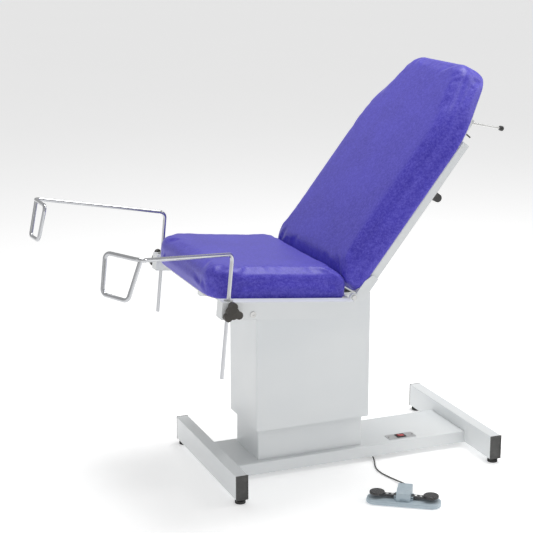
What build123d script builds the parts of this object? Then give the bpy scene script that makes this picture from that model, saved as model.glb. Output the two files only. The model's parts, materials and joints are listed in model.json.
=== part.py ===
"""Height-adjustable medical exam table with a gynaecological seat, a hinged backrest,
two swivelling heel loops, a two-button foot pedal and a lift column on an I-shaped base.

Foot end towards -X, head end towards +X, patient's left side towards -Y, floor at Z = 0.
"""
import math
import os

from build123d import *

os.makedirs("parts", exist_ok=True)

# ---- where the table stands in the frame (moves the whole object in plan) ----
shift_x = 243.0
shift_y = 106.75

# ---- base ----
base_half_length = 469.0
cross_half_width = 287.0
cross_tube_width = 40.0
cross_tube_height = 80.0
cross_tube_wall = 2.5
foot_height = 14.0
foot_radius = 17.0
foot_offset_y = 268.0
end_cap_thick = 4.0
cover_half_width = 114.5
cover_top = 54.0
sheet = 2.0
rail_tube_low = 24.0
rail_tube_high = 52.0
rail_tube_inner = 88.0
rail_tube_outer = 112.0
cap_plug = 8.0
cap_plug_gap = 2.7
cap_rim = 5.0
cap_dish = 1.2
foot_plate_top = 34.0
foot_plate_x0 = -300.0
foot_plate_x1 = -60.0
bolt_inset = 20.0
bolt_y = 48.0

# ---- lift column ----
column_x = -136.5
column_half_length = 184.5
column_half_width = 96.0
column_top = 450.0
sleeve_half_length = 198.5
sleeve_half_width = 119.0
sleeve_low = 162.0
sleeve_high = 582.0
lift_x = -180.0
deck_low = 537.0
deck_high = 545.0
outer_tube_half = 55.0
inner_tube_half = 48.0
guide_gap = 0.1
lift_tube_top = 440.0
inner_tube_low = 150.0
saddle_inner = 66.0
saddle_outer = 74.0

# ---- seat and backrest ----
hinge_x = -80.0
hinge_z = 624.0
seat_slope = 5.6
back_rise = 52.0
pad_gap = 14.0
pad_half_width = 282.0
pad_thick = 76.0
pad_round = 80.0
hinge_end_reach = 25.0
hinge_end_drop = 24.0
hinge_reach = 1.0
pad_corner = 35.0
nose_swell = 10.0
nose_height = 30.0
board_thick = 12.0
seat_front = -462.0
back_shoulder = 600.0
back_end = 820.0
back_end_half_width = 172.0
shoulder_round = 300.0
head_round = 85.0
head_edge = 45.0
head_edge_middle = head_edge * (1 - math.sqrt(0.5))
frame_tube = 25.0
frame_low = -board_thick - frame_tube
side_rail_inner = 290.0
side_rail_outer = 335.0
side_rail_depth = 53.0
side_rail_wall = 2.5
rail_screw_x = -349.0
rail_screw_z = -38.0
rail_screw_head = 9.5
side_rail_front = -448.0
side_rail_rear = -20.0

# ---- heel holders ----
post_x = -422.6
post_y = 315.0
rod_radius = 6.0
bend_height = 139.4
arm_length = 450.0
arm_rise = 5.2
loop_top = 120.0
loop_height = 112.0
loop_tilt = 6.5
swing_left = 36.0
swing_right = -3.0
post_end_left = -239.6
post_end_right = -199.8
running = 0.05

# ---- pedal hinges, in pedal coordinates ----
pedal_pivot_x = 26.0
pedal_pivot_z = 21.0
pedal_pin_radius = 2.0

# ---- backrest mechanism ----
crank_radius = 55.0
crank_pin_radius = 4.5
crank_forward = 22.0
gas_axis_z = -51.3
gas_rod_radius = 4.0
crank_slot_radius = 5.5
crank_slot_half = 4.0
back_tube_inner = 252.0
head_tube_inner = 70.0
back_ear_inner = 277.0

# ---- paper-roll holder and release lever, in backrest coordinates ----
roll_pivot_s = 663.0
roll_pivot_n = -30.0
roll_end_s = 713.0
roll_end_n = -131.0
roll_arm_y = 215.0
roll_rod_radius = 3.5
clamp_s = 630.0
lever_s = 404.0
lever_n = -25.0
lever_y = -244.0
clip_y = 200.0

# ---- foot pedal ----
pedal_x = 20.0
pedal_y = -458.0
pedal_turn = 33.5
pedal_arm_inner = 24.5
pedal_arm_outer = 96.0


def at(x, y, z):
    """A point given from the table's own middle, in the frame of the exported parts."""
    return (x + shift_x, y + shift_y, z)


slope = math.radians(seat_slope)
rise = math.radians(back_rise)
turn = math.radians(pedal_turn)
base_plane = Plane(origin=at(0, 0, 0), x_dir=(1, 0, 0), z_dir=(0, 0, 1))
seat_plane = Plane(
    origin=at(hinge_x, 0, hinge_z),
    x_dir=(math.cos(slope), 0, -math.sin(slope)),
    z_dir=(math.sin(slope), 0, math.cos(slope)),
)
back_plane = Plane(
    origin=at(hinge_x, 0, hinge_z),
    x_dir=(math.cos(rise), 0, math.sin(rise)),
    z_dir=(-math.sin(rise), 0, math.cos(rise)),
)
pedal_plane = Plane(
    origin=at(pedal_x, pedal_y, 0),
    x_dir=(math.cos(turn), -math.sin(turn), 0),
    z_dir=(0, 0, 1),
)


def block(x0, x1, y0, y1, z0, z1, mode=Mode.ADD):
    """A box between two corners, in the coordinates of the part's plane."""
    with Locations(((x0 + x1) / 2, (y0 + y1) / 2, (z0 + z1) / 2)):
        Box(x1 - x0, y1 - y0, z1 - z0, mode=mode)


def between(side, inner, outer):
    """Low and high Y of a piece lying between two distances from the middle plane."""
    return sorted((side * inner, side * outer))


def post(x, y, z0, z1, radius, mode=Mode.ADD):
    """An upright round bar."""
    with Locations((x, y, (z0 + z1) / 2)):
        Cylinder(radius, z1 - z0, mode=mode)


def pin_y(x, z, y0, y1, radius, mode=Mode.ADD):
    """A round bar along the part's Y."""
    with Locations(Location((x, (y0 + y1) / 2, z), (90, 0, 0))):
        Cylinder(radius, y1 - y0, mode=mode)


def pin_x(y, z, x0, x1, radius, mode=Mode.ADD):
    """A round bar along the part's X."""
    with Locations(Location(((x0 + x1) / 2, y, z), (0, 90, 0))):
        Cylinder(radius, x1 - x0, mode=mode)


def side_plane(plane, y):
    """The X-Z plane of a part, y across, facing -Y."""
    return Plane(origin=plane.from_local_coords((0, y, 0)), x_dir=plane.x_dir, z_dir=-plane.y_dir)


def side_plate(plane, points, y0, y1):
    """A plate with an outline in the part's X-Z plane, from y0 to y1."""
    with BuildSketch(side_plane(plane, y1)) as face:
        with BuildLine():
            Polyline(*points, close=True)
        make_face()
    extrude(to_extrude=face.sketch, amount=y1 - y0)


def round_path(points, radii):
    """Straight runs joined by arcs. One radius for each inner point."""
    here = Vector(*points[0])
    for i in range(1, len(points) - 1):
        corner = Vector(*points[i])
        back = (Vector(*points[i - 1]) - corner).normalized()
        ahead = (Vector(*points[i + 1]) - corner).normalized()
        half = math.radians(back.get_angle(ahead)) / 2
        reach = radii[i - 1] / math.tan(half)
        first = corner + back * reach
        last = corner + ahead * reach
        middle_dir = (back + ahead).normalized()
        middle = corner + middle_dir * (radii[i - 1] / math.sin(half) - radii[i - 1])
        Line(here, first)
        ThreePointArc(first, middle, last)
        here = last
    Line(here, Vector(*points[-1]))


def bar_along(points, radii, radius):
    """A round bar swept along a rounded path, added to the open part."""
    with BuildLine(Plane.XY) as route:
        round_path(points, radii)
    start = route.wires()[0]
    with BuildSketch(Plane(origin=start @ 0, z_dir=start % 0)) as section:
        Circle(radius)
    sweep(sections=section.sketch, path=start)


# ======================= base =======================


def cross_tube(x_low):
    """One end tube of the base with a hole for each levelling foot."""
    half = cross_half_width - end_cap_thick
    top = foot_height + cross_tube_height
    x_high = x_low + cross_tube_width
    block(x_low, x_high, -half, half, foot_height, top)
    fillet([e for e in edges().filter_by(Axis.Y)], 3)
    w = cross_tube_wall
    block(x_low + w, x_high - w, -half, half, foot_height + w, top - w, Mode.SUBTRACT)
    for y in (-foot_offset_y, foot_offset_y):
        post((x_low + x_high) / 2, y, foot_height - 1, foot_height + w + 1, 4.1, Mode.SUBTRACT)


front_low = -base_half_length
rear_low = base_half_length - cross_tube_width

with BuildPart(base_plane) as front_cross_tube:
    cross_tube(front_low)

with BuildPart(base_plane) as rear_cross_tube:
    cross_tube(rear_low)

with BuildPart(base_plane) as tube_end_caps:
    for x_low in (front_low, rear_low):
        for side in (-1, 1):
            flange = cross_half_width - end_cap_thick
            x_high = x_low + cross_tube_width
            top = foot_height + cross_tube_height
            y0, y1 = between(side, flange, cross_half_width)
            block(x_low, x_high, y0, y1, foot_height, top)
            y0, y1 = between(side, flange - cap_plug, flange)
            block(x_low + cap_plug_gap, x_high - cap_plug_gap, y0, y1,
                  foot_height + cap_plug_gap, top - cap_plug_gap)
            y0, y1 = between(side, cross_half_width - cap_dish, cross_half_width)
            block(x_low + cap_rim, x_high - cap_rim, y0, y1,
                  foot_height + cap_rim, top - cap_rim, Mode.SUBTRACT)

with BuildPart(base_plane) as foot_pads:
    for x in (front_low + cross_tube_width / 2, rear_low + cross_tube_width / 2):
        for y in (-foot_offset_y, foot_offset_y):
            post(x, y, 0, 8, foot_radius)
            post(x, y, 8, foot_height, 8)
            post(x, y, foot_height, foot_height + 9, 4)

inner_end = base_half_length - cross_tube_width

with BuildPart(base_plane) as base_rails:
    for side in (-1, 1):
        y0, y1 = between(side, rail_tube_inner, rail_tube_outer)
        block(-inner_end, inner_end, y0, y1, rail_tube_low, rail_tube_high)
        block(-inner_end, inner_end, y0 + sheet, y1 - sheet,
              rail_tube_low + sheet, rail_tube_high - sheet, Mode.SUBTRACT)

switch_x = 204.0
switch_y = -76.0
inlet_x = 150.0
box_low = 14.5
gland_x = 88.0
gland_z = 20.0

with BuildPart(base_plane) as base_cover:
    block(-inner_end, inner_end, -cover_half_width, cover_half_width, foot_height, cover_top)
    fillet(edges().filter_by(Axis.X).group_by(Axis.Z)[-1], 3)
    block(-inner_end, inner_end, -cover_half_width + sheet, cover_half_width - sheet,
          foot_height - 1, cover_top - sheet, Mode.SUBTRACT)
    block(lift_x - 56, lift_x + 56, -56, 56, cover_top - 4, cover_top + 1, Mode.SUBTRACT)
    block(switch_x - 13.5, switch_x + 13.5, switch_y - 10.5, switch_y + 10.5,
          cover_top - 4, cover_top + 1, Mode.SUBTRACT)
    for x in (switch_x - 44, switch_x + 44):
        post(x, switch_y, cover_top - 4, cover_top + 1, 1.7, Mode.SUBTRACT)

bolt_places = [
    (x, y)
    for x in (foot_plate_x0 + bolt_inset, foot_plate_x1 - bolt_inset)
    for y in (-bolt_y, bolt_y)
]

with BuildPart(base_plane) as column_foot_plate:
    block(foot_plate_x0, foot_plate_x1, -rail_tube_inner, rail_tube_inner, rail_tube_low, foot_plate_top)
    for x, y in bolt_places:
        post(x, y, rail_tube_low - 1, foot_plate_top + 1, 5.1, Mode.SUBTRACT)

with BuildPart(base_plane) as foot_plate_bolts:
    for x, y in bolt_places:
        post(x, y, rail_tube_low, foot_plate_top, 5)
        with BuildSketch(Plane(origin=at(x, y, foot_plate_top), x_dir=(1, 0, 0), z_dir=(0, 0, 1))):
            RegularPolygon(9, 6)
        extrude(amount=7)

with BuildPart(base_plane) as inner_column:
    x0 = column_x - column_half_length
    x1 = column_x + column_half_length
    block(x0, x1, -column_half_width, column_half_width, cover_top, column_top)
    fillet(edges().filter_by(Axis.Z), 4)
    block(x0 + sheet, x1 - sheet, -column_half_width + sheet, column_half_width - sheet,
          cover_top - 1, column_top + 1, Mode.SUBTRACT)

with BuildPart(base_plane) as lift_outer_tube:
    half = outer_tube_half
    bore = outer_tube_half - 4
    block(lift_x - half, lift_x + half, -half, half, foot_plate_top, lift_tube_top)
    block(lift_x - bore, lift_x + bore, -bore, bore, foot_plate_top - 1, lift_tube_top + 1, Mode.SUBTRACT)

with BuildPart(base_plane) as lift_guide_pads:
    near = inner_tube_half + guide_gap
    pad_low = lift_tube_top - 60
    block(lift_x - bore, lift_x - near, -30, 30, pad_low, lift_tube_top)
    block(lift_x + near, lift_x + bore, -30, 30, pad_low, lift_tube_top)
    block(lift_x - 30, lift_x + 30, -bore, -near, pad_low, lift_tube_top)
    block(lift_x - 30, lift_x + 30, near, bore, pad_low, lift_tube_top)

with BuildPart(base_plane) as actuator_cylinder:
    block(lift_x - 42, lift_x + 42, -42, 42, foot_plate_top, 62)
    post(lift_x, 0, 62, 400, 25)
    post(lift_x, 0, 66, 401, 11 + running, Mode.SUBTRACT)

with BuildPart(base_plane) as control_box:
    block(60, inlet_x, -50, 50, box_low, cover_top - sheet)
    fillet(edges().filter_by(Axis.Z), 5)
    block(inlet_x - 14, inlet_x + 1, -13.8, 13.8, 27.2, 46.8, Mode.SUBTRACT)

with BuildPart(base_plane) as cable_gland:
    pin_y(gland_x, gland_z, -62, -50, 4.5)
    pin_y(gland_x, gland_z, -56, -52, 5.5)

with BuildPart(base_plane) as mains_inlet:
    block(inlet_x, inlet_x + 2, -17, 17, 24, 50)
    block(inlet_x - 14, inlet_x, -13.8, 13.8, 27.2, 46.8)
    block(inlet_x - 11, inlet_x + 3, -12, 12, 29, 45, Mode.SUBTRACT)
    for y, z in ((-7, 34), (0, 40), (7, 34)):
        block(inlet_x - 11, inlet_x - 2, y - 1, y + 1, z - 2, z + 2)

with BuildPart(base_plane) as switch_plate:
    block(switch_x - 50, switch_x + 50, switch_y - 21, switch_y + 21, cover_top, cover_top + 2)
    fillet(edges().filter_by(Axis.Z), 3)
    block(switch_x - 13.5, switch_x + 13.5, switch_y - 10.5, switch_y + 10.5,
          cover_top - 1, cover_top + 3, Mode.SUBTRACT)
    for x in (switch_x - 44, switch_x + 44):
        post(x, switch_y, cover_top - 1, cover_top + 3, 1.7, Mode.SUBTRACT)

with BuildPart(base_plane) as switch_plate_screws:
    for x in (switch_x - 44, switch_x + 44):
        post(x, switch_y, cover_top - 4, cover_top + 2, 1.6)
        post(x, switch_y, cover_top + 2, cover_top + 3.6, 3.4)
        block(x - 2.4, x + 2.4, switch_y - 0.5, switch_y + 0.5, cover_top + 2.8, cover_top + 4, Mode.SUBTRACT)

with BuildPart(base_plane) as switch_housing:
    block(switch_x - 16, switch_x + 16, switch_y - 13, switch_y + 13, cover_top + 2, cover_top + 4)
    block(switch_x - 13.4, switch_x + 13.4, switch_y - 10.4, switch_y + 10.4, cover_top - 16, cover_top + 2)
    block(switch_x - 11.8, switch_x + 11.8, switch_y - 7.6, switch_y + 7.6,
          cover_top - 13, cover_top + 5, Mode.SUBTRACT)
    pin_y(switch_x, cover_top - 1, switch_y - 9.5, switch_y + 9.5, 1.25, Mode.SUBTRACT)

rocker_plane = Plane(
    origin=at(switch_x, switch_y, cover_top - 1),
    x_dir=(math.cos(math.radians(8)), 0, -math.sin(math.radians(8))),
    z_dir=(math.sin(math.radians(8)), 0, math.cos(math.radians(8))),
)

with BuildPart(rocker_plane) as rocker:
    side_plate(rocker_plane, [(-10.6, 6.8), (-10.6, 1), (-7, -5), (7, -5), (10.6, 1), (10.6, 6.8), (0, 5.2)],
               -7.3, 7.3)
    pin_y(0, 0, -9.3, 9.3, 1.2)

# ======================= foot pedal =======================

with BuildPart(pedal_plane) as pedal_base:
    block(-115, 115, -41, 33, 2, 13)
    fillet(edges().filter_by(Axis.Z), 30)
    fillet(edges().group_by(Axis.Z)[-1], 4)
    for x in (-pedal_pivot_x, pedal_pivot_x):
        for y0, y1 in ((-14, -9), (13, 18)):
            block(x - 3.5, x + 3.5, y0, y1, 12, pedal_pivot_z + 3.5)
            pin_y(x, pedal_pivot_z, y0 - 1, y1 + 1, pedal_pin_radius + running, Mode.SUBTRACT)

with BuildPart(pedal_plane) as pedal_feet:
    for x in (-88, 88):
        for y in (-28, 20):
            post(x, y, 0, 2, 7)

with BuildPart(pedal_plane) as pedal_cover:
    profile = [(-27, 13), (54, 13), (54, 38), (46, 44), (-4, 43), (-20, 36), (-27, 24)]
    with BuildSketch(Plane(origin=pedal_plane.from_local_coords((-22, 0, 0)),
                           x_dir=pedal_plane.y_dir, z_dir=pedal_plane.x_dir)):
        with BuildLine():
            Polyline(*profile, close=True)
        make_face()
    extrude(amount=44)
    block(-18, 18, 33, 51, 4, 13.5)
    block(-9, 9, -28, -24, 13, 22, Mode.SUBTRACT)

with BuildPart(pedal_plane) as pedal_gland:
    with Locations(Location((0, 59, 20), (90, 0, 0))):
        Cylinder(5, 10)


def pedal_arm(side):
    """The pressed-steel lever of one button, hinged at the side of the middle cover."""
    x0, x1 = sorted((side * pedal_arm_inner, side * pedal_arm_outer))
    block(x0, x1, -8, 12, 19, 24)
    pin_y(side * pedal_pivot_x, pedal_pivot_z, -14, 18, pedal_pin_radius)


def pedal_button(side):
    """The round rubber-faced button on its lever."""
    post(side * 83.5, 2, 24, 31, 24)
    fillet(edges().group_by(Axis.Z)[-1], 3)


with BuildPart(pedal_plane) as pedal_arm_left:
    pedal_arm(-1)

with BuildPart(pedal_plane) as pedal_arm_right:
    pedal_arm(1)

with BuildPart(pedal_plane) as pedal_button_left:
    pedal_button(-1)

with BuildPart(pedal_plane) as pedal_button_right:
    pedal_button(1)

cord_route = [
    at(88, -62, 20),
    at(88, -84, 20),
    at(86, -112, 8),
    at(77, -141, 3),
    at(64, -168, 3),
    at(56, -200, 3),
    at(57, -234, 3),
    at(65, -267, 3),
    at(74, -305, 4),
    at(76, -346, 11),
    tuple(pedal_plane.from_local_coords((0, 88, 20))),
    tuple(pedal_plane.from_local_coords((0, 64, 20))),
]


def cord_bends(points):
    """The largest tangent arc that fits at each inner point of a route."""
    radii = []
    for i in range(1, len(points) - 1):
        before = Vector(*points[i]) - Vector(*points[i - 1])
        after = Vector(*points[i + 1]) - Vector(*points[i])
        half = math.radians(before.get_angle(after)) / 2
        radii.append(0.45 * min(before.length, after.length) / math.tan(half))
    return radii


cord_radii = cord_bends(cord_route)
print("cord radii", [round(r) for r in cord_radii])

with BuildPart() as pedal_cord:
    bar_along(cord_route, cord_radii, 2.5)

# ======================= lift =======================

with BuildPart(base_plane) as sleeve:
    x0 = column_x - sleeve_half_length
    x1 = column_x + sleeve_half_length
    block(x0, x1, -sleeve_half_width, sleeve_half_width, sleeve_low, sleeve_high)
    fillet(edges().filter_by(Axis.Z), 5)
    block(x0 + sheet, x1 - sheet, -sleeve_half_width + sheet, sleeve_half_width - sheet,
          sleeve_low - 1, sleeve_high - sheet, Mode.SUBTRACT)
    block(-328, 10, -85, 85, sleeve_high - 4, sleeve_high + 1, Mode.SUBTRACT)

with BuildPart(base_plane) as deck_plate:
    block(column_x - sleeve_half_length + sheet, column_x + sleeve_half_length - sheet,
          -sleeve_half_width + sheet, sleeve_half_width - sheet, deck_low, deck_high)

with BuildPart(base_plane) as lift_inner_tube:
    half = inner_tube_half
    bore = inner_tube_half - 3
    block(lift_x - half, lift_x + half, -half, half, inner_tube_low, deck_low)
    block(lift_x - bore, lift_x + bore, -bore, bore, inner_tube_low - 1, deck_low + 1, Mode.SUBTRACT)

with BuildPart(base_plane) as actuator_rod:
    post(lift_x, 0, inner_tube_low, deck_low, 11)

saddle_front = seat_plane.from_local_coords((-245, 0, frame_low))
saddle_rear = seat_plane.from_local_coords((-48, 0, frame_low))
saddle_outline = [
    (saddle_front.X - shift_x, deck_high),
    (saddle_rear.X - shift_x, deck_high),
    (saddle_rear.X - shift_x, saddle_rear.Z),
    (saddle_front.X - shift_x, saddle_front.Z),
]

with BuildPart(base_plane) as saddle_plates:
    for side in (-1, 1):
        y0, y1 = between(side, saddle_inner, saddle_outer)
        side_plate(base_plane, saddle_outline, y0, y1)

with BuildPart(seat_plane) as seat_cross_tubes:
    for x0 in (-400, -245, -85):
        block(x0, x0 + frame_tube, -side_rail_inner, side_rail_inner, frame_low, -board_thick)
        block(x0 + 2, x0 + frame_tube - 2, -side_rail_inner, side_rail_inner,
              frame_low + 2, -board_thick - 2, Mode.SUBTRACT)


knob_z = -side_rail_depth / 2
boss_inner = post_y + 10
ear_inner = side_rail_inner - 6


def side_rail(side):
    """One white side rail with the holder's bore, the knob's boss and the hinge ear."""
    wall = side_rail_wall
    y0, y1 = between(side, side_rail_inner, side_rail_outer)
    block(side_rail_front, side_rail_rear, y0, y1, -side_rail_depth, 0)
    block(side_rail_front + wall, side_rail_rear - wall, y0 + wall, y1 - wall,
          -side_rail_depth + wall, -wall, Mode.SUBTRACT)
    post(post_x, side * post_y, -side_rail_depth, 0, 15)
    y0, y1 = between(side, boss_inner, side_rail_outer)
    pin_y(post_x, knob_z, y0, y1, 9)
    post(post_x, side * post_y, -side_rail_depth - 1, 1, 12 + running, Mode.SUBTRACT)
    y0, y1 = between(side, boss_inner, side_rail_outer + 1)
    pin_y(post_x, knob_z, y0, y1, 4 + running, Mode.SUBTRACT)
    y0, y1 = between(side, side_rail_outer - 4, side_rail_outer + 1)
    pin_y(rail_screw_x, rail_screw_z, y0, y1, 3.05, Mode.SUBTRACT)
    y0, y1 = between(side, ear_inner, side_rail_inner)
    side_plate(seat_plane, [(-58, -44), (-14, -44), (10, -10), (14, -3), (14, 5), (9, 11), (0, 14),
                            (-9, 11), (-14, 4), (-18, -2), (-58, -2)], y0, y1)
    pin_y(0, 0, y0 - 1, y1 + 1, 5 + running, Mode.SUBTRACT)


with BuildPart(seat_plane) as seat_rail_left:
    side_rail(-1)

with BuildPart(seat_plane) as seat_rail_right:
    side_rail(1)

with BuildPart(seat_plane) as rail_screws:
    for side in (-1, 1):
        y0, y1 = between(side, side_rail_outer - 3, side_rail_outer)
        pin_y(rail_screw_x, rail_screw_z, y0, y1, 3)
        y0, y1 = between(side, side_rail_outer, side_rail_outer + 2.5)
        pin_y(rail_screw_x, rail_screw_z, y0, y1, rail_screw_head)
        y0, y1 = between(side, side_rail_outer + 1, side_rail_outer + 3)
        pin_y(rail_screw_x, rail_screw_z, y0, y1, 3, Mode.SUBTRACT)


def seat_outline(margin, reach=0.0):
    """Plan of the seat: a rectangle, reaching a little past the front edge for the pad's nose."""
    x0 = seat_front + margin - reach
    x1 = -pad_gap - margin / 2
    half = pad_half_width - margin
    with Locations(((x0 + x1) / 2, 0)):
        Rectangle(x1 - x0, 2 * half)


with BuildPart(seat_plane) as seat_board:
    with BuildSketch(seat_plane.offset(-board_thick)) as plan:
        seat_outline(5)
        front = plan.vertices().sort_by(Axis.X)[:2]
        fillet(front, 98)
    extrude(amount=board_thick)


def hinge_end(side):
    """The end of a pad at the hinge: a round fall from its top face down to its underside."""
    ThreePointArc((side * (pad_gap + pad_round), pad_thick),
                  (side * (pad_gap + hinge_end_reach), pad_thick - hinge_end_drop),
                  (side * pad_gap, 0))


with BuildPart(seat_plane) as seat_cushion:
    with BuildSketch(side_plane(seat_plane, pad_half_width)):
        with BuildLine():
            Line((-pad_gap, 0), (seat_front, 0))
            ThreePointArc((seat_front, 0), (seat_front - nose_swell, nose_height),
                          (seat_front + 12, pad_thick - 14))
            ThreePointArc((seat_front + 12, pad_thick - 14), (seat_front + 24, pad_thick - 5),
                          (seat_front + 44, pad_thick))
            Line((seat_front + 44, pad_thick), (-pad_gap - pad_round, pad_thick))
            hinge_end(-1)
        make_face()
    extrude(amount=2 * pad_half_width)
    with BuildSketch(seat_plane.offset(-1)) as plan:
        seat_outline(0, nose_swell)
        fillet(plan.vertices().sort_by(Axis.X)[:2], 90)
        fillet(plan.vertices().group_by(Axis.X)[-1], pad_corner)
    extrude(amount=pad_thick + 2, mode=Mode.INTERSECT)

gas_start = -374.0
gas_mouth = -130.0
head_x = crank_radius * math.sin(math.radians(crank_forward))

with BuildPart(seat_plane) as gas_bracket:
    block(-399, gas_start, -13, 13, gas_axis_z - 12, frame_low)
    block(-245, -220, -13, 13, gas_axis_z + 11, frame_low)

with BuildPart(seat_plane) as gas_cylinder:
    pin_x(0, gas_axis_z, gas_start, gas_mouth, 11)
    pin_x(0, gas_axis_z, gas_start + 12, gas_mouth + 1, gas_rod_radius + running, Mode.SUBTRACT)

with BuildPart(seat_plane) as gas_rod:
    pin_x(0, gas_axis_z, -300, head_x - 12, gas_rod_radius)
    block(head_x - 13, head_x + 12, -4, 4, gas_axis_z - 14, gas_axis_z + 14)
    block(head_x - crank_slot_radius, head_x + crank_slot_radius, -5, 5,
          gas_axis_z - crank_slot_half, gas_axis_z + crank_slot_half, Mode.SUBTRACT)
    for z in (gas_axis_z - crank_slot_half, gas_axis_z + crank_slot_half):
        pin_y(head_x, z, -5, 5, crank_slot_radius, Mode.SUBTRACT)

# ======================= backrest =======================


def back_outline(margin, reach=0.0):
    """Plan of the backrest: parallel sides, then tapered to the head end."""
    s0 = pad_gap + margin / 2 - reach
    half = pad_half_width - margin
    end_half = back_end_half_width - margin * 0.7
    end = back_end - margin
    with BuildLine() as border:
        Polyline((s0, -half), (back_shoulder, -half), (end, -end_half),
                 (end, end_half), (back_shoulder, half), (s0, half), close=True)
    make_face(border.edges())


with BuildPart(back_plane) as back_frame:
    for side in (-1, 1):
        y0, y1 = between(side, back_tube_inner, back_tube_inner + frame_tube)
        block(20, 590, y0, y1, frame_low, -board_thick)
        block(22, 588, y0 + sheet, y1 - sheet, frame_low + sheet, -board_thick - sheet, Mode.SUBTRACT)
        y0, y1 = between(side, head_tube_inner, head_tube_inner + frame_tube)
        block(590, 780, y0, y1, frame_low, -board_thick)
        block(592, 778, y0 + sheet, y1 - sheet, frame_low + sheet, -board_thick - sheet, Mode.SUBTRACT)
        pin_y(roll_pivot_s, roll_pivot_n, y0 - 1, y1 + 1, roll_rod_radius + running, Mode.SUBTRACT)
        y0, y1 = between(side, back_ear_inner, back_ear_inner + 6)
        side_plate(back_plane, [(8, -37), (90, -37), (90, -13), (60, -2), (12, -2), (9, 8), (0, 12),
                                (-9, 8), (-12, 0), (-10, -9)], y0, y1)
        pin_y(0, 0, y0 - 1, y1 + 1, 5, Mode.SUBTRACT)
    for s0 in (60, 330, 565):
        half = back_tube_inner
        block(s0, s0 + frame_tube, -half, half, frame_low, -board_thick)
        block(s0 + sheet, s0 + frame_tube - sheet, -half, half,
              frame_low + sheet, -board_thick - sheet, Mode.SUBTRACT)
    pin_y(lever_s, lever_n, -back_tube_inner, lever_y + 4, 4)

with BuildPart(back_plane) as hinge_pins:
    for side in (-1, 1):
        y0, y1 = between(side, back_ear_inner - 2, side_rail_inner)
        pin_y(0, 0, y0, y1, 5)
        y0, y1 = between(side, side_rail_inner - 0.1, side_rail_inner + 0.4)
        pin_y(0, 0, y0, y1, 5)
        y0, y1 = between(side, side_rail_inner + 0.3, side_rail_inner + 4.3)
        pin_y(0, 0, y0, y1, 8)

crank_angle = -90 + crank_forward - (back_rise + seat_slope)
crank_s = crank_radius * math.cos(math.radians(crank_angle))
crank_n = crank_radius * math.sin(math.radians(crank_angle))

with BuildPart(back_plane) as crank:
    for side in (-1, 1):
        y0, y1 = between(side, 5, 11)
        side_plate(back_plane, [(60, -13), (10, -13), (-30, -34), (-41, -38), (-42, -50),
                                (-31, -55), (60, -37)], y0, y1)
    pin_y(crank_s, crank_n, -11, 11, crank_pin_radius)

with BuildPart(back_plane) as back_board:
    with BuildSketch(back_plane.offset(-board_thick)) as plan:
        back_outline(6)
        fillet(plan.vertices().sort_by(Axis.X)[2:4], shoulder_round - 6)
        fillet(plan.vertices().group_by(Axis.X)[-1], head_round - 6)
    extrude(amount=board_thick)

with BuildPart(back_plane) as back_cushion:
    with BuildSketch(side_plane(back_plane, pad_half_width)):
        with BuildLine():
            Polyline((pad_gap, 0), (back_end, 0), (back_end, pad_thick - head_edge))
            ThreePointArc((back_end, pad_thick - head_edge),
                          (back_end - head_edge_middle, pad_thick - head_edge_middle),
                          (back_end - head_edge, pad_thick))
            Line((back_end - head_edge, pad_thick), (pad_gap + pad_round, pad_thick))
            hinge_end(1)
        make_face()
    extrude(amount=2 * pad_half_width)
    with BuildSketch(back_plane.offset(-1)) as plan:
        back_outline(0, hinge_reach)
        fillet(plan.vertices().sort_by(Axis.X)[2:4], shoulder_round)
        fillet(plan.vertices().group_by(Axis.X)[-1], head_round)
        fillet(plan.vertices().group_by(Axis.X)[0], pad_corner)
    extrude(amount=pad_thick + 2, mode=Mode.INTERSECT)

with BuildPart(back_plane) as roll_clips:
    for side in (-1, 1):
        y0, y1 = between(side, clip_y - 8, clip_y + 8)
        block(620, 678, y0, y1, -42, -board_thick)
        pin_y(roll_pivot_s, roll_pivot_n, y0 - 1, y1 + 1, roll_rod_radius + running, Mode.SUBTRACT)
    post(clamp_s, -clip_y, -43, -20, 2.5 + running, Mode.SUBTRACT)

with BuildPart(back_plane) as release_lever:
    side_plate(back_plane, [(lever_s - 8, lever_n + 7), (lever_s + 8, lever_n + 7), (lever_s + 9, -42),
                            (lever_s - 5, -42)], lever_y - 4, lever_y + 3)
    pin_y(lever_s, lever_n, lever_y - 5, lever_y + 4.5, 4 + running, Mode.SUBTRACT)

with BuildPart(back_plane) as release_grip:
    with BuildSketch(side_plane(back_plane, lever_y + 11)):
        with BuildLine():
            Polyline((lever_s + 16, -64), (lever_s + 15, -42), (lever_s - 11, -42), (lever_s - 10, -64))
            ThreePointArc((lever_s + 16, -64), (lever_s + 3, -77), (lever_s - 10, -64))
        make_face()
    extrude(amount=22)

roll_rod_path = [
    (roll_end_s - 3.6, -roll_arm_y, roll_end_n + 7.2),
    (roll_pivot_s, -roll_arm_y, roll_pivot_n),
    (roll_pivot_s, roll_arm_y, roll_pivot_n),
    (roll_end_s - 3.6, roll_arm_y, roll_end_n + 7.2),
]

with BuildPart() as roll_rod:
    bar_along([tuple(back_plane.from_local_coords(p)) for p in roll_rod_path], [6, 6], roll_rod_radius)

with BuildPart(back_plane) as roll_eyes:
    for side in (-1, 1):
        y0, y1 = between(side, roll_arm_y - 5, roll_arm_y + 5)
        pin_y(roll_end_s, roll_end_n, y0, y1, 8)
        pin_y(roll_end_s, roll_end_n, y0 - 1, y1 + 1, 2.5, Mode.SUBTRACT)

with BuildPart(back_plane) as roll_clamp:
    post(clamp_s, -clip_y, -66, -21, 2.5)

# ======================= heel holders =======================


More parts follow.
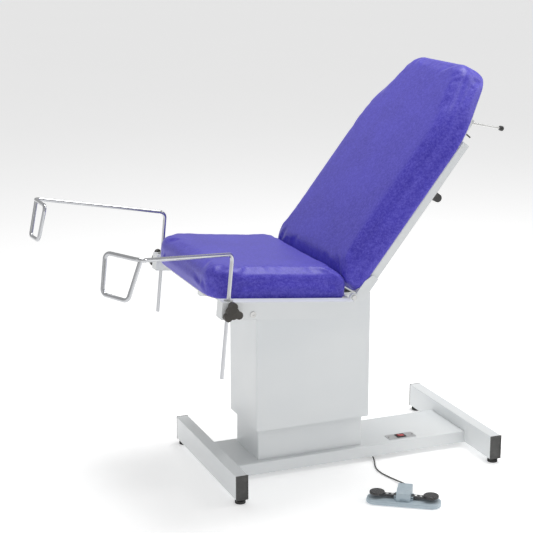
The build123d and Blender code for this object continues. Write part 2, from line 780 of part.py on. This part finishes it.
def holder_points(side, swing, lower_end):
    """Centreline corners of one holder, in seat coordinates."""
    foot = Vector(post_x, side * post_y, lower_end)
    bend = Vector(post_x, side * post_y, bend_height)
    a = math.radians(swing)
    e = math.radians(arm_rise)
    arm = Vector(-math.cos(a) * math.cos(e), side * math.sin(a) * math.cos(e), math.sin(e))
    corner = bend + arm * arm_length
    b = math.radians(swing - 90)
    across = Vector(-math.cos(b), side * math.sin(b), 0)
    t = math.radians(loop_tilt)
    normal = Vector(-math.sin(b), -side * math.cos(b), 0)
    down = Vector(0, 0, -1) * math.cos(t) + normal * (-math.sin(t))
    far_top = corner + across * loop_top
    far_low = corner + across * (loop_top - 9) + down * loop_height
    near_low = corner + across * 25 + down * (loop_height + 3)
    return [foot, bend, corner, far_top, far_low, near_low, corner]


def leg_holder(side, swing, lower_end):
    """Post, arm and closed heel loop bent from one chromed bar."""
    points = holder_points(side, swing, lower_end)
    corner = points[2]
    towards_arm = (points[1] - corner).normalized()
    towards_loop = (points[3] - corner).normalized()
    weld = corner + (towards_arm + towards_loop).normalized() * 7
    upright = points[5] - weld
    points[6] = weld + upright * 0.3
    path = [tuple(seat_plane.from_local_coords(p)) for p in points]
    bar_along(path, [22, 18, 16, 16, 16], rod_radius)
    rest = [tuple(seat_plane.from_local_coords(p)) for p in (weld + upright * 0.35, weld)]
    bar_along(rest, [], rod_radius)


with BuildPart() as leg_holder_left:
    leg_holder(-1, swing_left, post_end_left)

with BuildPart() as leg_holder_right:
    leg_holder(1, swing_right, post_end_right)


def bushing(side):
    """Split plastic bushing that lets one holder turn and slide."""
    post(post_x, side * post_y, -side_rail_depth - 2, 0.3, 12)
    post(post_x, side * post_y, 0.3, 2.3, 14)
    post(post_x, side * post_y, -side_rail_depth - 3, 3, rod_radius + running, Mode.SUBTRACT)
    block(post_x + 4, post_x + 16, side * post_y - 0.6, side * post_y + 0.6,
          -side_rail_depth - 3, 3, Mode.SUBTRACT)


with BuildPart(seat_plane) as bushing_left:
    bushing(-1)

with BuildPart(seat_plane) as bushing_right:
    bushing(1)


def knob(side):
    """Three-lobed clamp knob with its stud."""
    y0, y1 = between(side, post_y + 12.4, side_rail_outer + 10)
    pin_y(post_x, knob_z, y0, y1, 4)
    y0, y1 = between(side, side_rail_outer + 1, side_rail_outer + 10)
    pin_y(post_x, knob_z, y0, y1, 11)
    y0, y1 = between(side, side_rail_outer + 10, side_rail_outer + 29)
    pin_y(post_x, knob_z, y0, y1, 19)
    for angle in (90, 225, 342):
        a = math.radians(angle)
        pin_y(post_x + 19.5 * math.cos(a), knob_z + 19.5 * math.sin(a), y0, y1, 12)


with BuildPart(seat_plane) as knob_left:
    knob(-1)

with BuildPart(seat_plane) as knob_right:
    knob(1)

# ======================= export =======================

named = {
    "front_cross_tube": front_cross_tube,
    "rear_cross_tube": rear_cross_tube,
    "tube_end_caps": tube_end_caps,
    "foot_pads": foot_pads,
    "base_rails": base_rails,
    "base_cover": base_cover,
    "column_foot_plate": column_foot_plate,
    "foot_plate_bolts": foot_plate_bolts,
    "inner_column": inner_column,
    "lift_outer_tube": lift_outer_tube,
    "lift_guide_pads": lift_guide_pads,
    "actuator_cylinder": actuator_cylinder,
    "control_box": control_box,
    "cable_gland": cable_gland,
    "mains_inlet": mains_inlet,
    "switch_plate": switch_plate,
    "switch_plate_screws": switch_plate_screws,
    "switch_housing": switch_housing,
    "rocker": rocker,
    "pedal_base": pedal_base,
    "pedal_feet": pedal_feet,
    "pedal_cover": pedal_cover,
    "pedal_gland": pedal_gland,
    "pedal_arm_left": pedal_arm_left,
    "pedal_arm_right": pedal_arm_right,
    "pedal_button_left": pedal_button_left,
    "pedal_button_right": pedal_button_right,
    "pedal_cord": pedal_cord,
    "sleeve": sleeve,
    "deck_plate": deck_plate,
    "lift_inner_tube": lift_inner_tube,
    "actuator_rod": actuator_rod,
    "saddle_plates": saddle_plates,
    "seat_cross_tubes": seat_cross_tubes,
    "seat_rail_left": seat_rail_left,
    "seat_rail_right": seat_rail_right,
    "rail_screws": rail_screws,
    "seat_board": seat_board,
    "seat_cushion": seat_cushion,
    "gas_bracket": gas_bracket,
    "gas_cylinder": gas_cylinder,
    "gas_rod": gas_rod,
    "back_frame": back_frame,
    "hinge_pins": hinge_pins,
    "crank": crank,
    "back_board": back_board,
    "back_cushion": back_cushion,
    "roll_clips": roll_clips,
    "release_lever": release_lever,
    "release_grip": release_grip,
    "roll_rod": roll_rod,
    "roll_eyes": roll_eyes,
    "roll_clamp": roll_clamp,
    "leg_holder_left": leg_holder_left,
    "leg_holder_right": leg_holder_right,
    "bushing_left": bushing_left,
    "bushing_right": bushing_right,
    "knob_left": knob_left,
    "knob_right": knob_right,
}

for name, item in named.items():
    item.part.label = name
    export_step(item.part, "parts/" + name + ".step")
    box = item.part.bounding_box()
    print(f"{name:22s} solids {len(item.part.solids()):2d} x {box.min.X:8.1f} {box.max.X:8.1f}"
          f" y {box.min.Y:8.1f} {box.max.Y:8.1f} z {box.min.Z:7.1f} {box.max.Z:7.1f}")
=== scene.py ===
"""Looks for the height-adjustable medical exam table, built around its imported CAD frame."""
import json
import math

import bmesh
import bpy
from mathutils import Matrix, Vector


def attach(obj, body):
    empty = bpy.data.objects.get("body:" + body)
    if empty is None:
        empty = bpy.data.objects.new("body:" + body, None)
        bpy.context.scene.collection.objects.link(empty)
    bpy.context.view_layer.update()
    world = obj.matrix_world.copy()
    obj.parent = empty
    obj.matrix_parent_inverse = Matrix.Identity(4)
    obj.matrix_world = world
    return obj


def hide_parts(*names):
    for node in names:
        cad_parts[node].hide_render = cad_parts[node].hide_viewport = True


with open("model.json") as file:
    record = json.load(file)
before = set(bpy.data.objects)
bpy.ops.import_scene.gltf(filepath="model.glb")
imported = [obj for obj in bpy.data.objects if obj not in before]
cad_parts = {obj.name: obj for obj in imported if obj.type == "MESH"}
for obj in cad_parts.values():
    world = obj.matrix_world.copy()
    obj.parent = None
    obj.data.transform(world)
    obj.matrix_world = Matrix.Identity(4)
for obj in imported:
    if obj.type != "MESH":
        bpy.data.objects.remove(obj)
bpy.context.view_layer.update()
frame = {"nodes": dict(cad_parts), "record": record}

# The seat's and backrest's own axes, in the row frame (metres).
SEAT_SLOPE = math.radians(5.6)
BACK_RISE = math.radians(52.0)
HINGE = Vector((0.163, 0.10675, 0.624))
SEAT_X = Vector((math.cos(SEAT_SLOPE), 0, -math.sin(SEAT_SLOPE)))
SEAT_Z = Vector((math.sin(SEAT_SLOPE), 0, math.cos(SEAT_SLOPE)))
BACK_X = Vector((math.cos(BACK_RISE), 0, math.sin(BACK_RISE)))
BACK_Z = Vector((-math.sin(BACK_RISE), 0, math.cos(BACK_RISE)))
SIDE_Y = Vector((0, 1, 0))
PEDAL_TURN = math.radians(33.5)
PEDAL_AT = Vector((0.263, -0.35125, 0))
PEDAL_X = Vector((math.cos(PEDAL_TURN), -math.sin(PEDAL_TURN), 0))
PEDAL_Y = Vector((math.sin(PEDAL_TURN), math.cos(PEDAL_TURN), 0))


def place(origin, x_dir, y_dir, z_dir):
    """Matrix that puts a piece's own axes at a place in the row frame."""
    turn = Matrix((x_dir, y_dir, z_dir)).transposed().to_4x4()
    return Matrix.Translation(origin) @ turn


SEAT = place(HINGE, SEAT_X, SIDE_Y, SEAT_Z)
BACK = place(HINGE, BACK_X, SIDE_Y, BACK_Z)
PEDAL = place(PEDAL_AT, PEDAL_X, PEDAL_Y, Vector((0, 0, 1)))

# ---------------- camera ----------------

CAMERA_AT = (-1.6431, -3.9255, 1.7790)
CAMERA_FORWARD = (0.3638, 0.8981, -0.2468)
CAMERA_LENS = 94.8
SENSOR_WIDTH = 36.0

camera_data = bpy.data.cameras.new("camera")
camera_data.lens = CAMERA_LENS
camera_data.sensor_width = SENSOR_WIDTH
camera = bpy.data.objects.new("camera", camera_data)
bpy.context.scene.collection.objects.link(camera)
bpy.context.scene.camera = camera
forward = Vector(CAMERA_FORWARD).normalized()
camera.matrix_world = (
    Matrix.Translation(CAMERA_AT) @ forward.to_track_quat("-Z", "Y").to_matrix().to_4x4()
)

# ---------------- pedal cord ----------------

CORD_ROUTE = [
    (0.331, 0.04475, 0.020),
    (0.331, 0.02275, 0.020),
    (0.329, -0.00525, 0.008),
    (0.320, -0.03425, 0.003),
    (0.307, -0.06125, 0.003),
    (0.299, -0.09325, 0.003),
    (0.300, -0.12725, 0.003),
    (0.308, -0.16025, 0.003),
    (0.317, -0.19825, 0.004),
    (0.319, -0.23925, 0.011),
    tuple(PEDAL @ Vector((0, 0.088, 0.020))),
    tuple(PEDAL @ Vector((0, 0.064, 0.020))),
]
CORD_DIAMETER = 0.005

# The points carry the cord's radius over a unit bevel, so the curve's box stays the cord's own size.
cord_data = bpy.data.curves.new("pedal_flex", "CURVE")
cord_data.dimensions = "3D"
cord_data.bevel_depth = 1.0
cord_data.bevel_resolution = 4
cord_data.resolution_u = 12
spline = cord_data.splines.new("NURBS")
spline.points.add(len(CORD_ROUTE) - 1)
for point, where in zip(spline.points, CORD_ROUTE):
    point.co = (*where, 1)
    point.radius = CORD_DIAMETER / 2
spline.order_u = 3
spline.use_endpoint_u = True
pedal_flex = bpy.data.objects.new("pedal_flex", cord_data)
bpy.context.scene.collection.objects.link(pedal_flex)
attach(pedal_flex, "base")
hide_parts("pedal_cord")

# ---------------- materials ----------------


class Paint:
    """A procedural material: colour variation, roughness variation and bump on one shader."""

    def __init__(self, name, roughness=0.5, metallic=0.0, specular=0.5):
        self.material = bpy.data.materials.new(name)
        self.material.use_nodes = True
        self.nodes = self.material.node_tree.nodes
        self.links = self.material.node_tree.links
        self.shader = self.nodes["Principled BSDF"]
        self.shader.inputs["Metallic"].default_value = metallic
        self.shader.inputs["Roughness"].default_value = roughness
        self.shader.inputs["Specular IOR Level"].default_value = specular
        self.coords = self.nodes.new("ShaderNodeTexCoord").outputs["Object"]
        self.normal = None

    def stretched(self, scale, turn=(0, 0, 0)):
        """Object coordinates turned and stretched, for grain that runs one way."""
        node = self.nodes.new("ShaderNodeMapping")
        node.inputs["Rotation"].default_value = turn
        node.inputs["Scale"].default_value = scale
        self.links.new(self.coords, node.inputs["Vector"])
        return node.outputs["Vector"]

    def noise(self, scale, detail=3.0, rough=0.5, distortion=0.0, vector=None):
        node = self.nodes.new("ShaderNodeTexNoise")
        node.inputs["Scale"].default_value = scale
        node.inputs["Detail"].default_value = detail
        node.inputs["Roughness"].default_value = rough
        node.inputs["Distortion"].default_value = distortion
        self.links.new(vector or self.coords, node.inputs["Vector"])
        return node.outputs["Fac"]

    def span(self, value, low, high, to_low, to_high):
        node = self.nodes.new("ShaderNodeMapRange")
        for key, number in (("From Min", low), ("From Max", high), ("To Min", to_low), ("To Max", to_high)):
            node.inputs[key].default_value = number
        self.links.new(value, node.inputs["Value"])
        return node.outputs["Result"]

    def mix(self, amount, first, second):
        """A colour between two colours or colour sockets."""
        node = self.nodes.new("ShaderNodeMix")
        node.data_type = "RGBA"
        self.links.new(amount, node.inputs["Factor"])
        for socket, colour in ((node.inputs[6], first), (node.inputs[7], second)):
            if isinstance(colour, tuple):
                socket.default_value = (*colour, 1)
            else:
                self.links.new(colour, socket)
        return node.outputs[2]

    def colour(self, socket):
        self.links.new(socket, self.shader.inputs["Base Color"])

    def rough(self, socket):
        self.links.new(socket, self.shader.inputs["Roughness"])

    def bump(self, height, distance, strength=1.0):
        node = self.nodes.new("ShaderNodeBump")
        node.inputs["Distance"].default_value = distance
        node.inputs["Strength"].default_value = strength
        self.links.new(height, node.inputs["Height"])
        if self.normal is not None:
            self.links.new(self.normal, node.inputs["Normal"])
        self.normal = node.outputs["Normal"]
        self.links.new(self.normal, self.shader.inputs["Normal"])


def powder_coat():
    """White powder coat: orange peel, a little handling dirt, cooler and warmer patches."""
    m = Paint("white_paint", roughness=0.36)
    patch = m.span(m.noise(3.0, 2.0), 0.3, 0.7, 0, 1)
    m.colour(m.mix(patch, (0.74, 0.765, 0.78), (0.80, 0.82, 0.825)))
    m.rough(m.span(m.noise(14.0, 4.0, 0.6), 0.3, 0.7, 0.30, 0.44))
    m.bump(m.noise(650.0, 2.0), 0.00006, 0.6)
    m.shader.inputs["Coat Weight"].default_value = 0.25
    m.shader.inputs["Coat Roughness"].default_value = 0.22
    return m.material


def polished(name, low, high, tone):
    """Plated bar: faint polishing lines and slightly duller patches."""
    m = Paint(name, roughness=low, metallic=1.0)
    haze = m.noise(22.0, 4.0, 0.6)
    m.colour(m.mix(m.span(haze, 0.3, 0.7, 0, 1), tuple(0.90 * t for t in tone), tone))
    m.rough(m.span(haze, 0.3, 0.75, low, high))
    m.bump(m.noise(900.0, 2.0), 0.00001, 0.5)
    return m.material


def brushed(name, tone, low=0.28, high=0.42):
    """Satin steel with its grain along X."""
    m = Paint(name, roughness=low, metallic=1.0)
    grain = m.noise(1.0, 4.0, 0.6, vector=m.stretched((30, 1400, 1400)))
    m.colour(m.mix(m.span(grain, 0.3, 0.7, 0, 1), tuple(0.84 * t for t in tone), tone))
    m.rough(m.span(grain, 0.3, 0.7, low, high))
    m.bump(grain, 0.00003, 0.5)
    return m.material


def moulded(name, dark, light, low, high, grain=700.0, depth=0.00008):
    """Moulded plastic or rubber: fine texture, and scuffs that are a little lighter."""
    m = Paint(name, roughness=low)
    scuff = m.span(m.noise(38.0, 6.0, 0.65), 0.42, 0.72, 0, 1)
    m.colour(m.mix(scuff, dark, light))
    m.rough(m.span(m.noise(60.0, 4.0, 0.6), 0.3, 0.7, low, high))
    m.bump(m.noise(grain, 3.0, 0.6), depth, 0.8)
    return m.material


def leatherette():
    """Blue leatherette: short pale fibres over a deep blue ground, with a soft sheen."""
    m = Paint("leatherette", roughness=0.44, specular=0.42)
    fibre_a = m.noise(1.0, 5.0, 0.7, 0.6, m.stretched((85, 200, 130), (0.3, 0.2, 0.7)))
    fibre_b = m.noise(1.0, 5.0, 0.7, 0.6, m.stretched((200, 90, 135), (0.1, 0.5, -0.5)))
    cloud = m.noise(9.0, 3.0, 0.55)
    ground = m.mix(m.span(cloud, 0.3, 0.7, 0, 1), (0.038, 0.024, 0.41), (0.052, 0.037, 0.49))
    first = m.mix(m.span(fibre_a, 0.44, 0.72, 0, 0.40), ground, (0.22, 0.19, 0.84))
    m.colour(m.mix(m.span(fibre_b, 0.46, 0.74, 0, 0.36), first, (0.20, 0.17, 0.82)))
    m.rough(m.span(fibre_a, 0.3, 0.7, 0.38, 0.56))
    m.bump(fibre_a, 0.00035, 0.5)
    m.bump(m.noise(1100.0, 3.0, 0.6), 0.00010, 0.6)
    m.shader.inputs["Sheen Weight"].default_value = 0.22
    m.shader.inputs["Sheen Roughness"].default_value = 0.45
    m.shader.inputs["Sheen Tint"].default_value = (0.72, 0.70, 1.0, 1)
    m.shader.inputs["Coat Weight"].default_value = 0.10
    m.shader.inputs["Coat Roughness"].default_value = 0.38
    return m.material


def laminate():
    """White board, its edge rubbed through to the plywood at the near front corner."""
    m = Paint("board_laminate", roughness=0.45)
    veneer = m.noise(1.0, 4.0, 0.6, vector=m.stretched((14, 14, 900)))
    white = m.mix(m.span(m.noise(30.0, 4.0), 0.3, 0.7, 0, 1), (0.72, 0.72, 0.69), (0.80, 0.80, 0.78))
    bare = m.mix(m.span(veneer, 0.3, 0.7, 0, 1), (0.50, 0.40, 0.25), (0.66, 0.56, 0.38))
    worn_corner = SEAT @ Vector((-0.435, -0.215, -0.006))
    worn_through, worn_to = 0.020, 0.038
    gap = m.nodes.new("ShaderNodeVectorMath")
    gap.operation = "DISTANCE"
    gap.inputs[1].default_value = worn_corner
    m.links.new(m.coords, gap.inputs[0])
    m.colour(m.mix(m.span(gap.outputs["Value"], worn_through, worn_to, 1, 0), white, bare))
    m.bump(m.noise(420.0, 3.0), 0.00006, 0.6)
    return m.material


SLOT_MATERIALS = {
    "white_paint": powder_coat(),
    "inner_steel": brushed("inner_steel", (0.55, 0.56, 0.57)),
    "chrome_rod": polished("chrome_rod", 0.05, 0.14, (0.60, 0.61, 0.63)),
    "zinc": polished("zinc", 0.24, 0.40, (0.66, 0.66, 0.65)),
    "cap_plastic": moulded("cap_plastic", (0.060, 0.060, 0.058), (0.095, 0.094, 0.090), 0.42, 0.58),
    "foot_rubber": moulded("foot_rubber", (0.018, 0.018, 0.018), (0.045, 0.044, 0.042), 0.60, 0.80),
    "knob_plastic": moulded("knob_plastic", (0.040, 0.036, 0.030), (0.070, 0.063, 0.053), 0.40, 0.56),
    "guide_plastic": moulded("guide_plastic", (0.74, 0.73, 0.69), (0.82, 0.81, 0.77), 0.35, 0.48),
    "bushing_plastic": moulded("bushing_plastic", (0.42, 0.43, 0.43), (0.52, 0.53, 0.53), 0.42, 0.56),
    "board_laminate": laminate(),
    "leatherette": leatherette(),
    "box_plastic": moulded("box_plastic", (0.055, 0.055, 0.060), (0.095, 0.095, 0.100), 0.48, 0.62),
    "switch_plate": brushed("switch_plate", (0.78, 0.79, 0.80)),
    "switch_black": moulded("switch_black", (0.022, 0.022, 0.022), (0.050, 0.050, 0.050), 0.36, 0.50),
    "rocker_red": moulded("rocker_red", (0.50, 0.045, 0.050), (0.62, 0.085, 0.085), 0.24, 0.36,
                          grain=500.0, depth=0.00003),
    "pedal_grey": moulded("pedal_grey", (0.44, 0.53, 0.59), (0.53, 0.61, 0.66), 0.42, 0.58),
    "pedal_dark": moulded("pedal_dark", (0.050, 0.050, 0.055), (0.085, 0.085, 0.090), 0.34, 0.48),
    "pedal_rubber": moulded("pedal_rubber", (0.038, 0.037, 0.038), (0.075, 0.072, 0.074), 0.20, 0.34),
    "cord_sheath": moulded("cord_sheath", (0.080, 0.080, 0.080), (0.125, 0.124, 0.120), 0.50, 0.66),
    "gas_black": moulded("gas_black", (0.022, 0.022, 0.022), (0.045, 0.045, 0.045), 0.26, 0.38),
    "grip_plastic": moulded("grip_plastic", (0.045, 0.045, 0.045), (0.080, 0.079, 0.077), 0.40, 0.56),
}

for entry in frame["record"]["subparts"]:
    node = frame["nodes"][entry["node"]]
    node.data.materials.clear()
    node.data.materials.append(SLOT_MATERIALS[entry["material_slot"]])
cord_data.materials.append(SLOT_MATERIALS["cord_sheath"])

# ---------------- padded pieces ----------------

# Before filling: heights above the board's face, how far each edge leans in, and how far it stands out.
TOP = 0.0755
WALL = 0.044
SHOULDER = 0.020
HINGE_REACH = 0.070
SWELL = 0.004
NOSE = 0.012
# The skirt wraps the board's edge, from below the board's face.
SKIRT = -0.0115
SKIRT_HEIGHT = 0.012
HINGE_INSET = 0.002
# Rings up a pad's side, points round a corner, and the limits of a corner's size.
RINGS = 12
ARC = 10
LEAST_CORNER = 0.014
LONGEST_CORNER_SHARE = 0.45

# Filling: the remesh, the height below which it is held, and the cloth's settings.
VOXEL = 0.0065
HELD_BELOW = 0.004
PRESSURE = 4
STIFFNESS = 22
FILL_STEPS = 20
FILL_LIMIT = 0.010

# After filling: how much the top is crowned, and the height over which the crown comes in.
CROWN = 0.004
CROWN_FROM = 0.03
CROWN_OVER = 0.03


def inset_corners(lines):
    """Corners of a convex outline given as (point, inward normal) lines in order."""
    corners = []
    for i, (p, n) in enumerate(lines):
        q, m = lines[(i + 1) % len(lines)]
        det = n[0] * m[1] - n[1] * m[0]
        a = n[0] * p[0] + n[1] * p[1]
        b = m[0] * q[0] + m[1] * q[1]
        corners.append(((a * m[1] - b * n[1]) / det, (n[0] * b - m[0] * a) / det))
    return corners


def rounded_ring(outline, insets, radii, shrink):
    """One level of a pad: its outline moved in side by side, with round corners."""
    lines = []
    count = len(outline)
    for i in range(count):
        p, q = outline[i], outline[(i + 1) % count]
        along = Vector((q[0] - p[0], q[1] - p[1])).normalized()
        inward = (-along.y, along.x)
        lines.append(((p[0] + inward[0] * insets[i], p[1] + inward[1] * insets[i]), inward))
    corners = inset_corners(lines)
    ring = []
    for i in range(count):
        corner = Vector(corners[i])
        before = Vector(corners[i - 1]) - corner
        after = Vector(corners[(i + 1) % count]) - corner
        half = before.angle(after) / 2
        radius = max(radii[(i + 1) % count] - shrink, LEAST_CORNER)
        reach = min(radius / math.tan(half), LONGEST_CORNER_SHARE * min(before.length, after.length))
        radius = reach * math.tan(half)
        centre = corner + (before.normalized() + after.normalized()).normalized() * (radius / math.sin(half))
        start = corner + before.normalized() * reach - centre
        end = corner + after.normalized() * reach - centre
        sweep = start.angle_signed(end)
        for k in range(ARC + 1):
            t = -sweep * k / ARC
            ring.append((centre.x + start.x * math.cos(t) - start.y * math.sin(t),
                         centre.y + start.x * math.sin(t) + start.y * math.cos(t)))
    return ring


def pad_mesh(name, outline, radii, hinge_side, nose_side=None):
    """A closed pad: flat bottom, short wall, rounded shoulder, flat top ready to be filled."""
    mesh = bmesh.new()
    levels = []
    for k in range(RINGS + 1):
        u = k / RINGS * math.pi / 2
        insets = []
        for i in range(len(outline)):
            reach = HINGE_REACH if i == hinge_side else SHOULDER
            out = 0.0 if i == hinge_side else -NOSE if i == nose_side else -SWELL
            insets.append(out + reach * (1 - math.cos(u)))
        levels.append((insets, SHOULDER * (1 - math.cos(u)), WALL + (TOP - WALL) * math.sin(u)))
    seated = [HINGE_INSET if i == hinge_side else 0.0 for i in range(len(outline))]
    levels.insert(0, (seated, 0, SKIRT))
    levels.insert(1, (seated, 0, SKIRT + SKIRT_HEIGHT))
    rings = []
    for insets, shrink, height in levels:
        ring = rounded_ring(outline, insets, radii, shrink)
        rings.append([mesh.verts.new((x, y, height)) for x, y in ring])
    for low, high in zip(rings, rings[1:]):
        for i in range(len(low)):
            j = (i + 1) % len(low)
            mesh.faces.new((low[i], low[j], high[j], high[i]))
    mesh.faces.new(list(reversed(rings[0])))
    mesh.faces.new(rings[-1])
    bmesh.ops.triangulate(mesh, faces=[f for f in mesh.faces if len(f.verts) > 4])
    bmesh.ops.recalc_face_normals(mesh, faces=mesh.faces)
    data = bpy.data.meshes.new(name)
    mesh.to_mesh(data)
    mesh.free()
    pad = bpy.data.objects.new(name, data)
    bpy.context.scene.collection.objects.link(pad)
    return pad


def apply_modifiers(piece):
    """Replaces a piece's mesh with what its modifiers make of it."""
    graph = bpy.context.evaluated_depsgraph_get()
    done = bpy.data.meshes.new_from_object(piece.evaluated_get(graph))
    piece.modifiers.clear()
    piece.data = done


def fill_pad(piece):
    """Blows the pad up a little as foam does, with its bottom held on the board."""
    remesh = piece.modifiers.new("remesh", "REMESH")
    remesh.mode = "VOXEL"
    remesh.voxel_size = VOXEL
    apply_modifiers(piece)
    rest = [v.co.copy() for v in piece.data.vertices]
    held = piece.vertex_groups.new(name="held")
    held.add([v.index for v in piece.data.vertices if v.co.z < HELD_BELOW], 1.0, "REPLACE")
    cloth = piece.modifiers.new("cloth", "CLOTH")
    cloth.settings.quality = 5
    cloth.settings.mass = 0.4
    cloth.settings.tension_stiffness = STIFFNESS
    cloth.settings.compression_stiffness = STIFFNESS
    cloth.settings.bending_stiffness = 3
    cloth.settings.use_pressure = True
    cloth.settings.uniform_pressure_force = PRESSURE
    cloth.settings.vertex_group_mass = "held"
    cloth.settings.effector_weights.gravity = 0
    scene = bpy.context.scene
    for step in range(1, FILL_STEPS + 1):
        scene.frame_set(step)
    apply_modifiers(piece)
    scene.frame_set(1)
    for v, start in zip(piece.data.vertices, rest):
        moved = v.co - start
        if moved.length > FILL_LIMIT:
            v.co = start + moved.normalized() * FILL_LIMIT


def finish_pad(piece, box, body, node, matrix):
    """Crowns and smooths the pad, keeps it inside its box and seats it on its board."""
    low_x, high_x, half_y = box
    middle = (low_x + high_x) / 2
    half_x = (high_x - low_x) / 2
    for v in piece.data.vertices:
        across = max(0.0, 1 - ((v.co.x - middle) / half_x) ** 2) * max(0.0, 1 - (v.co.y / half_y) ** 2)
        v.co.z += CROWN * across * max(0.0, min(1.0, (v.co.z - CROWN_FROM) / CROWN_OVER))
        v.co.x = min(max(v.co.x, low_x), high_x)
        v.co.y = min(max(v.co.y, -half_y), half_y)
        v.co.z = max(v.co.z, SKIRT)
    smooth = piece.modifiers.new("smooth", "SMOOTH")
    smooth.factor = 0.5
    smooth.iterations = 3
    divide = piece.modifiers.new("divide", "SUBSURF")
    divide.levels = 1
    divide.render_levels = 1
    apply_modifiers(piece)
    for face in piece.data.polygons:
        face.use_smooth = True
    piece.data.materials.clear()
    piece.data.materials.append(SLOT_MATERIALS["leatherette"])
    piece.data.transform(matrix)
    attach(piece, body)
    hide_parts(node)


# Outlines run anticlockwise; a radius belongs to the corner where its side starts.
PAD_HALF_WIDTH = 0.282
PAD_START = 0.014
SEAT_END = 0.462
BACK_SHOULDER = 0.600
BACK_END = 0.820
HEAD_HALF_WIDTH = 0.172

SEAT_OUTLINE = [
    (-SEAT_END, -PAD_HALF_WIDTH),
    (-PAD_START, -PAD_HALF_WIDTH),
    (-PAD_START, PAD_HALF_WIDTH),
    (-SEAT_END, PAD_HALF_WIDTH),
]
SEAT_RADII = [0.090, 0.035, 0.035, 0.090]
SEAT_HINGE_SIDE = 1
SEAT_NOSE_SIDE = 3
BACK_OUTLINE = [
    (PAD_START, -PAD_HALF_WIDTH),
    (BACK_SHOULDER, -PAD_HALF_WIDTH),
    (BACK_END, -HEAD_HALF_WIDTH),
    (BACK_END, HEAD_HALF_WIDTH),
    (BACK_SHOULDER, PAD_HALF_WIDTH),
    (PAD_START, PAD_HALF_WIDTH),
]
BACK_RADII = [0.035, 0.300, 0.085, 0.085, 0.300, 0.035]
BACK_HINGE_SIDE = 5

# The boxes that the filled pads stay inside: low x, high x and half the width.
SEAT_BOX = (-0.480, -0.0125, 0.2885)
BACK_BOX = (0.0125, 0.829, 0.2885)

seat_pad = pad_mesh("seat_pad", SEAT_OUTLINE, SEAT_RADII, SEAT_HINGE_SIDE, SEAT_NOSE_SIDE)
fill_pad(seat_pad)
finish_pad(seat_pad, SEAT_BOX, "lift", "seat_cushion", SEAT)

back_pad = pad_mesh("back_pad", BACK_OUTLINE, BACK_RADII, BACK_HINGE_SIDE)
fill_pad(back_pad)
finish_pad(back_pad, BACK_BOX, "backrest", "back_cushion", BACK)

# ---------------- small details ----------------


def turned_piece(name, profile, sides=28):
    """A round piece turned from (radius, height) points about its own Z."""
    mesh = bmesh.new()
    rings = []
    for radius, height in profile:
        rings.append([
            mesh.verts.new((radius * math.cos(a), radius * math.sin(a), height))
            for a in (2 * math.pi * k / sides for k in range(sides))
        ])
    for low, high in zip(rings, rings[1:]):
        for i in range(sides):
            j = (i + 1) % sides
            mesh.faces.new((low[i], low[j], high[j], high[i]))
    mesh.faces.new(list(reversed(rings[0])))
    mesh.faces.new(rings[-1])
    data = bpy.data.meshes.new(name)
    mesh.to_mesh(data)
    mesh.free()
    for face in data.polygons:
        face.use_smooth = len(face.vertices) == 4
    piece = bpy.data.objects.new(name, data)
    bpy.context.scene.collection.objects.link(piece)
    return piece


def put(piece, matrix, body, slot):
    piece.data.transform(matrix)
    piece.data.materials.append(SLOT_MATERIALS[slot])
    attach(piece, body)


RIVET = [(0.0052, 0), (0.0052, 0.0006), (0.0047, 0.0015), (0.0034, 0.0023), (0.0016, 0.0027)]
RIVET_REACHES = (0.036, 0.053)
RIVET_Y = 0.002
LEVER_TOP = 0.0240
for body, side in (("pedal_left", -1), ("pedal_right", 1)):
    for x in RIVET_REACHES:
        rivet = turned_piece(f"{body}_rivet_{int(x * 1000)}", RIVET)
        put(rivet, PEDAL @ Matrix.Translation((side * x, RIVET_Y, LEVER_TOP)), body, "zinc")

# ---------------- floor and light ----------------

FLOOR_REACH = 60
FLOOR_GAP = 0.0002
FLOOR_GLOW = 0.30
SKY_STRENGTH = 0.50

floor_mesh = bmesh.new()
bmesh.ops.create_grid(floor_mesh, x_segments=1, y_segments=1, size=FLOOR_REACH)
floor_data = bpy.data.meshes.new("floor")
floor_mesh.to_mesh(floor_data)
floor_mesh.free()
floor = bpy.data.objects.new("floor", floor_data)
bpy.context.scene.collection.objects.link(floor)
floor.location = (0, 0, -FLOOR_GAP)
floor_paint = Paint("floor", roughness=0.9, specular=0.1)
floor_paint.colour(floor_paint.mix(floor_paint.noise(0.5, 2.0), (0.96, 0.96, 0.96), (0.98, 0.98, 0.98)))
floor_paint.shader.inputs["Emission Color"].default_value = (1, 1, 1, 1)
floor_paint.shader.inputs["Emission Strength"].default_value = FLOOR_GLOW
floor_data.materials.append(floor_paint.material)


def soft_light(name, where, towards, size, power):
    data = bpy.data.lights.new(name, "AREA")
    data.shape = "RECTANGLE"
    data.size, data.size_y = size
    data.energy = power
    light = bpy.data.objects.new(name, data)
    bpy.context.scene.collection.objects.link(light)
    aim = (Vector(towards) - Vector(where)).to_track_quat("-Z", "Y").to_matrix().to_4x4()
    light.matrix_world = Matrix.Translation(where) @ aim


soft_light("key", (1.2, 0.6, 4.2), (0.1, 0.1, 0.6), (1.8, 1.5), 84)
soft_light("fill", (-3.4, -2.2, 2.0), (0.0, 0.1, 0.6), (1.6, 2.0), 4)
soft_light("rim", (3.2, -0.4, 2.6), (0.3, 0.1, 0.9), (1.2, 2.0), 26)

world = bpy.data.worlds.new("world")
bpy.context.scene.world = world
world.use_nodes = True
sky = world.node_tree.nodes["Background"]
sky.inputs["Color"].default_value = (1, 1, 1, 1)
sky.inputs["Strength"].default_value = SKY_STRENGTH
bpy.context.scene.view_settings.view_transform = "Standard"

bpy.context.view_layer.update()
